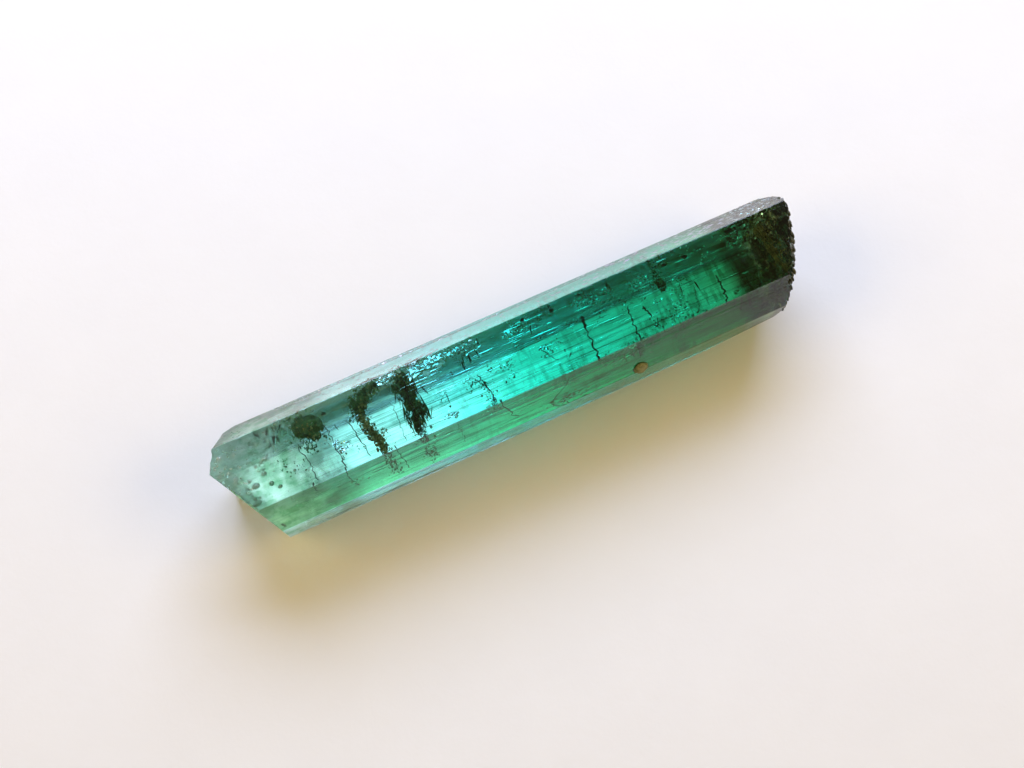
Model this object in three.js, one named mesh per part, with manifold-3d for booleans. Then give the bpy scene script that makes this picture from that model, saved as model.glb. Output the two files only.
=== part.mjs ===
// A doubly ended piece of a tourmaline prism lying on one of its side faces.
// Millimetres, +Z up, X along the crystal's c axis (the termination is at -X and
// the broken end at +X), -Y to the front. The origin is under the middle of the
// crystal's box, on the face that it rests on.
import * as THREE from 'three';
import { mergeVertices } from 'three/addons/utils/BufferGeometryUtils.js';
import Module from 'manifold-3d';

// ---- driving dimensions -------------------------------------------------------
const LENGTH = 40.0;          // tip of the termination to the rear corner of the break
const HEIGHT = 6.95;          // resting face to top face
const TOP_W = [4.709, 4.588]; // top face, at the termination and at the break
const REAR_W = [3.22, 3.22];  // upper rear face
const FRONT_W = [2.76, 2.54]; // upper front face, which narrows towards the break
const SIDE_H = [2.35, 2.62];  // upright front face below it
const REAR_EDGE_Y = 2.51;     // the straight edge between the top and upper rear faces
// The angles between side faces are 120 degrees, and 150 on both sides of the upright one.
const C60 = 0.5, S60 = Math.sqrt(3) / 2;

// termination: two flat faces that meet in a ridge, the tip at its upper end.
// Each falls back by dy for a millimetre sideways and by dz for one downwards.
const TIP = { x: -20.014, y: 1.102 };
const FACE_FRONT = { dy: 0.5406, dz: 0.060 };
const FACE_REAR = { dy: 0.520, dz: 0.080 };
const BLUNT = { x: -17.6, y: 4.13, z: 4.15, dy: 2.4 }; // worn rear corner

// break: an uneven surface x = f(y, r), r being the depth below the top face
const BREAK = [19.288, 0.4216, 0.3243, -0.04745, -0.02815, -0.08331, 0.0001, -0.01217];
const BREAK_ROUGH = 0.085;    // height of its steps
const BREAK_CELLS = 24;       // grid across it
// worn lower front corner of the break: a long sliver and a short bevel
const SLIVER = { x: 12.0, y: -3.37, z: 2.3, dy: 9.73, dz: 5.6 };
const BEVEL = { x: 17.65, y: -3.333, z: 4.787, dy: 0.88, dz: 0.0 };

// growth terraces on the side faces (share across the face, inward step in mm),
// each one running along part of the prism. The resting face has none.
const TERRACES = {
  top: [[0.10, 0.000, 0.010], [0.33, 0.018, 0.030], [0.37, 0.030, 0.012], [0.41, 0.012, 0.028], [0.62, 0.022, 0.000], [0.90, 0.000, 0.014]],
  rear: [[0.30, 0.000, 0.022], [0.55, 0.022, 0.008], [0.80, 0.010, 0.020]],
  rearLow: [[0.20, 0.000, 0.030], [0.48, 0.030, 0.012], [0.75, 0.014, 0.036]],
  frontLow: [[0.25, 0.030, 0.008], [0.60, 0.010, 0.028]],
  side: [[0.30, 0.000, 0.020], [0.66, 0.020, 0.006]],
  front: [[0.22, 0.014, 0.000], [0.50, 0.006, 0.026], [0.72, 0.026, 0.010]],
};
const STEP_SHARE = 0.012;     // width of a step's riser, as a share of the face
const STATIONS = [-27, -14.5, -13.9, -6.2, -5.7, 1.8, 2.4, 9.5, 10.1, 15.6, 16.0, 27];

const wasm = await Module();
wasm.setup();

// ---- a repeatable noise -----------------------------------------------------
const hash = (i, j, k = 0) => {
  let h = (i * 374761393 + j * 668265263 + k * 2147483647) | 0;
  h = Math.imul(h ^ (h >>> 13), 1274126177);
  h ^= h >>> 16;
  return ((h >>> 0) % 100000) / 100000;
};
const smooth = (t) => t * t * (3 - 2 * t);
const noise = (u, v, k) => {
  const i = Math.floor(u), j = Math.floor(v), a = smooth(u - i), b = smooth(v - j);
  return (hash(i, j, k) * (1 - a) + hash(i + 1, j, k) * a) * (1 - b)
    + (hash(i, j + 1, k) * (1 - a) + hash(i + 1, j + 1, k) * a) * b;
};

// ---- prism ------------------------------------------------------------------
const mix = (pair, x) => pair[0] + (pair[1] - pair[0]) * (x + LENGTH / 2) / LENGTH;

// the seven corners of the section at x, going round, in y and z
function corners(x) {
  const top = mix(TOP_W, x), rear = mix(REAR_W, x), front = mix(FRONT_W, x), side = mix(SIDE_H, x);
  const rearMid = [REAR_EDGE_Y + rear * C60, HEIGHT - rear * S60];
  const frontMid = [REAR_EDGE_Y - top - front * C60, HEIGHT - front * S60];
  const frontLow = [frontMid[0], frontMid[1] - side];
  const inwards = C60 / S60;                       // of the two lower faces, per mm down
  return {
    topFront: [REAR_EDGE_Y - top, HEIGHT],
    topRear: [REAR_EDGE_Y, HEIGHT],
    rearMid,
    lowRear: [rearMid[0] - rearMid[1] * inwards, 0],
    lowFront: [frontLow[0] + frontLow[1] * inwards, 0],
    frontLow,
    frontMid,
  };
}

const FACES = [
  ['top', 'topFront', 'topRear'],
  ['rear', 'topRear', 'rearMid'],
  ['rearLow', 'rearMid', 'lowRear'],
  ['rest', 'lowRear', 'lowFront'],
  ['frontLow', 'lowFront', 'frontLow'],
  ['side', 'frontLow', 'frontMid'],
  ['front', 'frontMid', 'topFront'],
];

// one section as a closed ring, counted the same way at every x
function ring(x, index) {
  const c = corners(x), pts = [];
  for (const [name, from, to] of FACES) {
    const a = c[from], b = c[to];
    const dy = b[0] - a[0], dz = b[1] - a[1], len = Math.hypot(dy, dz);
    const n = [-dz / len * -1, dy / len * -1];      // points into the crystal
    pts.push([a[0], a[1]]);
    for (const [share, before, after] of (TERRACES[name] || [])) {
      const live = hash(Math.floor(index / 2), Math.round(share * 100), name.length) > 0.32 ? 1 : 0.25;
      for (const [s, d] of [[share - STEP_SHARE, before], [share + STEP_SHARE, after]]) {
        pts.push([a[0] + dy * s + n[0] * d * live, a[1] + dz * s + n[1] * d * live]);
      }
    }
  }
  return pts;
}

function solidFrom(positions, triangles) {
  let g = new THREE.BufferGeometry();
  g.setAttribute('position', new THREE.Float32BufferAttribute(positions, 3));
  g.setIndex(triangles);
  g = mergeVertices(g, 1e-5);
  return new wasm.Manifold(new wasm.Mesh({
    numProp: 3,
    vertProperties: new Float32Array(g.attributes.position.array),
    triVerts: new Uint32Array(g.index.array),
  }));
}

function prism() {
  const rings = STATIONS.map((x, i) => ring(x, i));
  const n = rings[0].length, pos = [], tri = [];
  rings.forEach((r, i) => r.forEach(([y, z]) => pos.push(STATIONS[i], y, z)));
  for (let i = 0; i + 1 < rings.length; i++) {
    for (let j = 0; j < n; j++) {
      const k = (j + 1) % n, a = i * n + j, b = i * n + k, c = a + n, d = b + n;
      tri.push(a, c, b, b, c, d);
    }
  }
  const first = pos.length / 3;                     // a point inside each end cap
  pos.push(STATIONS[0], 0, HEIGHT / 2, STATIONS.at(-1), 0, HEIGHT / 2);
  const last = (rings.length - 1) * n;
  for (let j = 0; j < n; j++) {
    const k = (j + 1) % n;
    tri.push(first, j, k);
    tri.push(first + 1, last + k, last + j);
  }
  return solidFrom(pos, tri);
}

// ---- a block behind a surface x = f(y, z) -----------------------------------
// side +1 keeps what is at larger x, side -1 what is at smaller x
function block(f, side, cells) {
  const y0 = -7, y1 = 7, z0 = -2, z1 = 9, far = side * 120;
  const pos = [], tri = [], n = cells + 1;
  for (let i = 0; i <= cells; i++) {
    for (let j = 0; j <= cells; j++) {
      const y = y0 + (y1 - y0) * i / cells, z = z0 + (z1 - z0) * j / cells;
      pos.push(f(y, z), y, z);
    }
  }
  const back = pos.length / 3;
  for (let i = 0; i <= cells; i++) {
    for (let j = 0; j <= cells; j++) {
      pos.push(far, y0 + (y1 - y0) * i / cells, z0 + (z1 - z0) * j / cells);
    }
  }
  const quad = (a, b, c, d) => { side < 0 ? tri.push(a, b, c, b, d, c) : tri.push(a, c, b, b, c, d); };
  for (let i = 0; i < cells; i++) {
    for (let j = 0; j < cells; j++) {
      const a = i * n + j;
      quad(a, a + n, a + 1, a + n + 1);
      quad(back + a, back + a + 1, back + a + n, back + a + n + 1);
    }
  }
  for (let i = 0; i < cells; i++) {
    const lo = i * n, hi = i * n + cells;
    quad(lo, back + lo, lo + n, back + lo + n);
    quad(hi, hi + n, back + hi, back + hi + n);
    quad(i, i + 1, back + i, back + i + 1);
    const e = cells * n + i;
    quad(e, back + e, e + 1, back + e + 1);
  }
  return solidFrom(pos, tri);
}

// ---- the two ends -----------------------------------------------------------
const frontFace = (y, z) => TIP.x - FACE_FRONT.dy * (y - TIP.y) + FACE_FRONT.dz * (HEIGHT - z);
const rearFace = (y, z) => TIP.x + FACE_REAR.dy * (y - TIP.y) + FACE_REAR.dz * (HEIGHT - z);
const bluntFace = (y, z) => BLUNT.x + BLUNT.dy * (y - BLUNT.y) + 0.1 * (BLUNT.z - z);

const breakFace = (y, z) => {
  const r = HEIGHT - z, b = BREAK;
  const mean = b[0] + b[1] * y + b[2] * r + b[3] * y * y + b[4] * y * r + b[5] * r * r
    + b[6] * y ** 3 + b[7] * y * y * r;
  const u = (y + 4) / 8, v = z / HEIGHT;
  const coarse = noise(u * 5 + 3, v * 5 + 7, 1) - 0.5;
  const fine = noise(u * 13 + 1, v * 12 + 2, 2) - 0.5;
  const ledges = Math.round(coarse * 7) / 7 * 0.6 + coarse * 0.4;
  return mean + BREAK_ROUGH * (3.0 * ledges + 1.1 * fine) - 0.02;
};
const sliverFace = (y, z) => SLIVER.x + SLIVER.dy * (y - SLIVER.y) + SLIVER.dz * (z - SLIVER.z);
const bevelFace = (y, z) => BEVEL.x + BEVEL.dy * (y - BEVEL.y) + BEVEL.dz * (z - BEVEL.z);

const keepBeyond = (f, cells = 1) => block(f, 1, cells);
const keepBefore = (f, cells = 1) => block(f, -1, cells);

let body = prism();
for (const part of [keepBeyond(frontFace), keepBeyond(rearFace), keepBeyond(bluntFace),
  keepBefore(breakFace, BREAK_CELLS), keepBefore(sliverFace), keepBefore(bevelFace)]) {
  body = body.intersect(part);
}

// ---- to one mesh, its box centred over the origin -----------------------------
const cut = body.getMesh();
const np = cut.numProp, count = cut.vertProperties.length / np;
const xyz = new Float32Array(count * 3);
for (let i = 0; i < count; i++) {
  for (let k = 0; k < 3; k++) xyz[3 * i + k] = cut.vertProperties[i * np + k];
}
const geometry = new THREE.BufferGeometry();
geometry.setAttribute('position', new THREE.BufferAttribute(xyz, 3));
geometry.setIndex(new THREE.BufferAttribute(new Uint32Array(cut.triVerts), 1));
geometry.computeBoundingBox();
const box = geometry.boundingBox;
geometry.translate(-(box.min.x + box.max.x) / 2, -(box.min.y + box.max.y) / 2, -box.min.z);
geometry.computeVertexNormals();

const crystal = new THREE.Mesh(geometry, new THREE.MeshStandardMaterial({
  color: 0x2b9f78, roughness: 0.08, metalness: 0,
}));
crystal.name = 'tourmaline_crystal';

const group = new THREE.Group();
group.name = 'tourmaline';
group.add(crystal);
export default group;
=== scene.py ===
import math

import bpy
import numpy as np
from mathutils import Matrix, Vector


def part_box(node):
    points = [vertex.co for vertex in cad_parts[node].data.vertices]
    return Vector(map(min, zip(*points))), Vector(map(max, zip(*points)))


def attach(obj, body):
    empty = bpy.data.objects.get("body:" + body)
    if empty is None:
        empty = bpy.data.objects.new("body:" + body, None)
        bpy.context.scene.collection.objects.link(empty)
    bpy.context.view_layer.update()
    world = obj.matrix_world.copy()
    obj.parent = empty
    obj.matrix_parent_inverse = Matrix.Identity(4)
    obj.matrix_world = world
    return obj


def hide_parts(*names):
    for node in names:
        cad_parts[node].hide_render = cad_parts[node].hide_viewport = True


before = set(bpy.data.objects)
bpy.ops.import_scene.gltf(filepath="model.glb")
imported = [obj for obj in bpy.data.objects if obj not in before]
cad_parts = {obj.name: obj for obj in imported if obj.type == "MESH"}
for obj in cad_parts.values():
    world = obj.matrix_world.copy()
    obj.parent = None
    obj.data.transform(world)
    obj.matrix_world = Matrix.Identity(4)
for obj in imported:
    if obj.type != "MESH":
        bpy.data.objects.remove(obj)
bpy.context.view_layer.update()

NODE = "tourmaline_crystal"
LO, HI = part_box(NODE)
MM = 0.001

# ------------------------------------------------------------------ the crystal's form
# Millimetres. X is the c axis with the termination at -X; the section is seven-sided.
HEIGHT = (HI[2] - LO[2]) / MM
DX = LO[0] / MM + 20.014          # where the construction's zero lies in the frame
DY = HI[1] / MM - 4.12
C60, S60 = 0.5, math.sqrt(3) / 2
REAR_Y = 2.51


def mix(a, b, x):
    return a + (b - a) * (x + 20.0) / 40.0


# side faces going round from the top: name, outward direction (y, z)
SIDES = [
    ("top", (0.0, 1.0)),
    ("rear", (S60, 0.5)),
    ("rear_low", (S60, -0.5)),
    ("rest", (0.0, -1.0)),
    ("front_low", (-S60, -0.5)),
    ("side", (-1.0, 0.0)),
    ("front", (-S60, 0.5)),
]


def offsets(x):
    """How far each side face lies from the axis line y = z = 0, for an array of x."""
    top, front, side = mix(4.709, 4.588, x), mix(2.76, 2.54, x), mix(2.35, 2.62, x)
    yf = REAR_Y - top
    yk = yf - front * C60
    zk = HEIGHT - front * S60 - side
    one = np.ones_like(x)
    d = {
        "top": HEIGHT * one,
        "rear": (S60 * REAR_Y + 0.5 * HEIGHT) * one,
        "rear_low": (S60 * 4.12 - 0.5 * (HEIGHT - 3.22 * S60)) * one,
        "rest": 0.0 * one,
        "front_low": -S60 * yk - 0.5 * zk - 0.089 * np.maximum(0, x - 12.0),
        "side": -yk,
        "front": -S60 * yf + 0.5 * HEIGHT,
    }
    return np.stack([d[n] for n, _ in SIDES], -1)


def smoothstep(t):
    t = np.clip(t, 0, 1)
    return t * t * (3 - 2 * t)


def hash01(i, j, k):
    h = (np.asarray(i, np.int64) * 374761393 + np.asarray(j, np.int64) * 668265263 + int(k) * 1442695041) & 0xFFFFFFFF
    h = ((h ^ (h >> 13)) * 1274126177) & 0xFFFFFFFF
    h ^= h >> 16
    return (h % 1000003) / 1000003.0


def noise2(u, v, k=0):
    i, j = np.floor(u), np.floor(v)
    a, b = smoothstep(u - i), smoothstep(v - j)
    i, j = i.astype(np.int64), j.astype(np.int64)
    return ((hash01(i, j, k) * (1 - a) + hash01(i + 1, j, k) * a) * (1 - b)
            + (hash01(i, j + 1, k) * (1 - a) + hash01(i + 1, j + 1, k) * a) * b)


def fbm(u, v, k=0, octaves=4, gain=0.5):
    s, amp, tot = 0.0, 1.0, 0.0
    for o in range(octaves):
        s = s + amp * (noise2(u * 2 ** o + 17.3 * o, v * 2 ** o + 9.1 * o, k + o) - 0.5)
        tot += amp
        amp *= gain
    return s / tot


# ------------------------------------------------------------------ ends
TIP_X, TIP_Y = -20.014, 1.102
BREAK = [19.288, 0.4216, 0.3243, -0.04745, -0.02815, -0.08331, 0.0001, -0.01217]


SCOOPS = [(-0.55, 0.30, 0.62), (-1.15, 0.16, 0.40), (-1.62, 0.42, 0.55), (-2.15, 0.22, 0.60), (0.35, 0.10, 0.34),
          (-2.75, 1.15, 0.50), (-3.00, 1.75, 0.36), (1.35, 0.12, 0.30), (2.05, 0.25, 0.42), (-0.1, 0.62, 0.30)]


def left_end(y, z):
    r = HEIGHT - z
    a = TIP_X - 0.5406 * (y - TIP_Y) + 0.060 * r
    b = TIP_X + 0.520 * (y - TIP_Y) + 0.080 * r
    c = -17.6 + 2.4 * (y - 4.13) + 0.1 * (4.15 - z)
    x = np.maximum(np.maximum(a, b), c)
    for yc, rc, size in SCOOPS:                   # shell-shaped chips
        d = np.hypot(y - yc, (r - rc) * 1.25)
        x = x + 0.30 * np.sqrt(np.clip(size ** 2 - d ** 2, 0, None)) * (0.8 + 0.25 * np.sin(d * 26))
    return x + 0.035 * np.abs(fbm(y * 1.7, z * 1.7, 3, 3)) + 0.01 * np.abs(fbm(y * 9, z * 9, 4, 2))


def right_end(y, z, rough=1.0):
    r, b = HEIGHT - z, BREAK
    x = (b[0] + b[1] * y + b[2] * r + b[3] * y * y + b[4] * y * r + b[5] * r * r
         + b[6] * y ** 3 + b[7] * y * y * r)
    coarse = fbm(y * 0.55 + 3, z * 0.55 + 7, 11, 3)
    ledge = np.round(coarse * 16) / 16
    fine = fbm(y * 2.6, z * 2.6, 21, 4, 0.6)
    bites = np.abs(fbm(y * 1.25 + 5, z * 1.25 + 2, 61, 3, 0.65))
    x = x + rough * (0.36 * (0.6 * ledge + 0.4 * coarse) + 0.30 * fine - 1.1 * bites + 0.14)
    x = np.minimum(x, 17.65 + 0.88 * (y + 3.333) + 0.25 + 0.05 * fine)
    return x


# ------------------------------------------------------------------ side faces
FACE_N = {"top": 96, "rear": 44, "rear_low": 60, "rest": 60, "front_low": 36, "side": 36, "front": 60}


def rng(seed):
    return np.random.default_rng(seed)


def growth(name, s, x, width):
    """Inward relief in mm at share s across a face and x along it: growth steps and fine lines."""
    seed = sum(map(ord, name))
    g = rng(seed)
    h = np.zeros(np.broadcast(s, x).shape)
    if name == "rest":
        n_steps, amp = 5, 0.004
    elif name == "top":
        n_steps, amp = 9, 0.006
    else:
        n_steps, amp = 12, 0.012
    for _ in range(n_steps):
        c, w = g.uniform(0.04, 0.96), g.uniform(0.02, 0.05) / width
        x0, x1 = np.sort(g.uniform(-24, 24, 2))
        if x1 - x0 < 8:
            x1 = x0 + 8
        side = g.choice([-1, 1])
        a = amp * g.uniform(0.3, 1.0)
        run = smoothstep((x - x0) / 1.2) * smoothstep((x1 - x) / 1.2)
        h = h + a * run * smoothstep(side * (s - c) / w + 0.5) * (1 - np.abs(s - c)) ** 1.5
    lines = fbm(s * width * 6.0, x * 0.035, seed + 5, 3, 0.6)
    h = h + amp * 0.5 * (lines + 0.3)
    return np.clip(h, 0, 0.05)


def ring(x):
    """Ring of points at each x (array): returns y, z with shape (len(x), ring length), and face ids."""
    off = offsets(x)
    n = len(SIDES)
    dirs = np.array([d for _, d in SIDES])
    corner = []                                   # corner k lies between face k-1 and face k
    for k in range(n):
        a, b = dirs[k - 1], dirs[k]
        det = a[0] * b[1] - a[1] * b[0]
        da, db = off[:, k - 1], off[:, k]
        corner.append(np.stack([(da * b[1] - db * a[1]) / det, (a[0] * db - b[0] * da) / det], -1))
    ys, zs, fid, share = [], [], [], []
    for k, (name, d) in enumerate(SIDES):
        p, q = corner[k], corner[(k + 1) % n]
        m = FACE_N[name]
        s = np.arange(m) / m
        s = s + 0.0
        width = float(np.mean(np.linalg.norm(q - p, axis=1)))
        S, X = np.meshgrid(s, x)
        h = growth(name, S, X, width)
        edge = np.minimum(S, 1 - S) * width
        h = h * smoothstep(edge / 0.12) + 0.02 * np.exp(-(edge / 0.02) ** 2) * (0.4 + noise2(X * 3.1, S * 0 + k, 40))
        if name == "rest":
            h = np.maximum(h, 0)
        yy = p[:, None, 0] + (q - p)[:, None, 0] * S - d[0] * h
        zz = p[:, None, 1] + (q - p)[:, None, 1] * S - d[1] * h
        ys.append(yy); zs.append(zz)
        fid += [k] * m
        share += list(s)
    return np.concatenate(ys, 1), np.concatenate(zs, 1), np.array(fid), np.array(share)


def crystal_mesh():
    t = np.r_[np.linspace(0, 0.16, 44)[:-1], np.linspace(0.16, 0.90, 60)[:-1], np.linspace(0.90, 1.0, 22)]
    n_st = len(t)
    y0, z0, fid, share = ring(np.array([-19.0, 18.5]))
    n = y0.shape[1]
    # the ends are surfaces x = f(y, z): slide each ring point along its face line to meet them
    xl, xr = left_end(y0[0], z0[0]), right_end(y0[1], z0[1])
    X = xl[None, :] + (xr - xl)[None, :] * t[:, None]
    Y, Z = np.empty_like(X), np.empty_like(X)
    # the section changes slowly with x, so each column is read from a table of sections
    tab_x = np.linspace(-21.5, 21.5, 173)
    ty, tz, _, _ = ring(tab_x)
    for j in range(n):
        Y[:, j] = np.interp(X[:, j], tab_x, ty[:, j])
        Z[:, j] = np.interp(X[:, j], tab_x, tz[:, j])
    for _ in range(3):
        X[0], X[-1] = left_end(Y[0], Z[0]), right_end(Y[-1], Z[-1])
        for r in (0, -1):
            for j in range(n):
                Y[r, j] = np.interp(X[r, j], tab_x, ty[:, j])
                Z[r, j] = np.interp(X[r, j], tab_x, tz[:, j])
    verts = [np.stack([X, Y, Z], -1).reshape(-1, 3)]
    faces = []
    idx = np.arange(n_st * n).reshape(n_st, n)
    a, b = idx[:-1], np.roll(idx[:-1], -1, 1)
    c, d = idx[1:], np.roll(idx[1:], -1, 1)
    faces.append(np.stack([a, b, d, c], -1).reshape(-1, 4))
    count = n_st * n
    tris = []
    for end in (0, -1):
        yy, zz = Y[end], Z[end]
        cy, cz = (TIP_Y, HEIGHT * 0.5) if end == 0 else (0.3, HEIGHT * 0.5)
        rings = 26 if end == 0 else 44
        prev = idx[end]
        f = left_end if end == 0 else right_end
        for k in range(1, rings):
            u = 1 - k / rings
            y = cy + (yy - cy) * u
            z = cz + (zz - cz) * u
            x = f(y, z)
            verts.append(np.stack([x, y, z], -1))
            cur = np.arange(count, count + n)
            count += n
            p, q = prev, np.roll(prev, -1)
            r, s = cur, np.roll(cur, -1)
            quad = np.stack([p, r, s, q], -1) if end == 0 else np.stack([p, q, s, r], -1)
            faces.append(quad)
            prev = cur
        verts.append(np.array([[float(f(np.array([cy]), np.array([cz]))[0]), cy, cz]]))
        mid = count
        count += 1
        p, q = prev, np.roll(prev, -1)
        m = np.full(n, mid)
        tris.append(np.stack([p, m, q], -1) if end == 0 else np.stack([p, q, m], -1))
    v = np.concatenate(verts)
    v[:, 0] += DX
    v[:, 1] += DY
    return v, np.concatenate(faces)[:, ::-1], np.concatenate(tris)[:, ::-1]


def new_mesh(name, verts, *face_sets, smooth=True, sharp=None):
    me = bpy.data.meshes.new(name)
    loops = np.concatenate([f.reshape(-1) for f in face_sets]).astype(np.int32)
    sizes = np.concatenate([np.full(len(f), f.shape[1]) for f in face_sets])
    starts = np.concatenate([[0], np.cumsum(sizes)[:-1]]).astype(np.int32)
    me.vertices.add(len(verts))
    me.vertices.foreach_set("co", (np.asarray(verts) * MM).astype(np.float32).ravel())
    me.loops.add(len(loops))
    me.loops.foreach_set("vertex_index", loops)
    me.polygons.add(len(sizes))
    me.polygons.foreach_set("loop_start", starts)
    me.polygons.foreach_set("use_smooth", np.full(len(sizes), smooth))
    me.update(calc_edges=True)
    me.validate()
    if sharp is not None:
        me.set_sharp_from_angle(angle=math.radians(sharp))
    ob = bpy.data.objects.new(name, me)
    bpy.context.scene.collection.objects.link(ob)
    return ob


# ------------------------------------------------------------------ materials
class Nodes:
    """Short ways to write a node tree."""

    def __init__(self, name):
        self.m = bpy.data.materials.new(name)
        self.m.use_nodes = True
        self.t = self.m.node_tree
        self.t.nodes.clear()
        self.out = self.t.nodes.new("ShaderNodeOutputMaterial")

    def add(self, kind, **values):
        n = self.t.nodes.new(kind)
        for key, value in values.items():
            if hasattr(n, key):
                setattr(n, key, value)
        return n

    def put(self, socket, value):
        if hasattr(value, "is_output"):
            self.t.links.new(value, socket)
        elif value is not None:
            socket.default_value = value

    def math(self, op, a, b=None, c=None, clamp=False):
        n = self.add("ShaderNodeMath", operation=op, use_clamp=clamp)
        for i, v in enumerate((a, b, c)):
            if v is not None:
                self.put(n.inputs[i], v)
        return n.outputs[0]

    def pos(self):
        return self.add("ShaderNodeTexCoord").outputs["Object"]

    def scaled(self, vec, scale, loc=(0, 0, 0)):
        n = self.add("ShaderNodeMapping")
        self.put(n.inputs["Vector"], vec)
        n.inputs["Scale"].default_value = scale
        n.inputs["Location"].default_value = loc
        return n.outputs[0]

    def noise(self, vec, scale=1.0, detail=3.0, rough=0.5, distortion=0.0):
        n = self.add("ShaderNodeTexNoise")
        self.put(n.inputs["Vector"], vec)
        n.inputs["Scale"].default_value = scale
        n.inputs["Detail"].default_value = detail
        n.inputs["Roughness"].default_value = rough
        n.inputs["Distortion"].default_value = distortion
        return n.outputs["Fac"]

    def ramp(self, fac, stops, interp="LINEAR"):
        n = self.add("ShaderNodeValToRGB")
        self.put(n.inputs["Fac"], fac)
        r = n.color_ramp
        r.interpolation = interp
        while len(r.elements) > 1:
            r.elements.remove(r.elements[-1])
        r.elements[0].position, r.elements[0].color = stops[0][0], (*stops[0][1], 1)
        for p, c in stops[1:]:
            e = r.elements.new(p)
            e.color = (*c, 1)
        return n.outputs["Color"]

    def range(self, value, a, b, c=0.0, d=1.0):
        n = self.add("ShaderNodeMapRange")
        self.put(n.inputs["Value"], value)
        for k, v in zip(("From Min", "From Max", "To Min", "To Max"), (a, b, c, d)):
            n.inputs[k].default_value = v
        return n.outputs[0]

    def mix(self, fac, a, b, kind="MIX"):
        n = self.add("ShaderNodeMix", data_type="RGBA", blend_type=kind)
        self.put(n.inputs[0], fac)
        for i, v in ((6, a), (7, b)):
            if isinstance(v, tuple) and len(v) == 3:
                v = (*v, 1)
            self.put(n.inputs[i], v)
        return n.outputs[2]

    def bump(self, height, strength=0.3, distance=0.0001, normal=None):
        n = self.add("ShaderNodeBump")
        self.put(n.inputs["Height"], height)
        n.inputs["Strength"].default_value = strength
        n.inputs["Distance"].default_value = distance
        if normal is not None:
            self.put(n.inputs["Normal"], normal)
        return n.outputs[0]

    def principled(self, **values):
        n = self.add("ShaderNodeBsdfPrincipled")
        for key, value in values.items():
            socket = n.inputs[key.replace("_", " ")]
            if isinstance(value, tuple) and len(value) == 3:
                value = (*value, 1)
            self.put(socket, value)
        self.t.links.new(n.outputs[0], self.out.inputs["Surface"])
        return n


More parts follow.
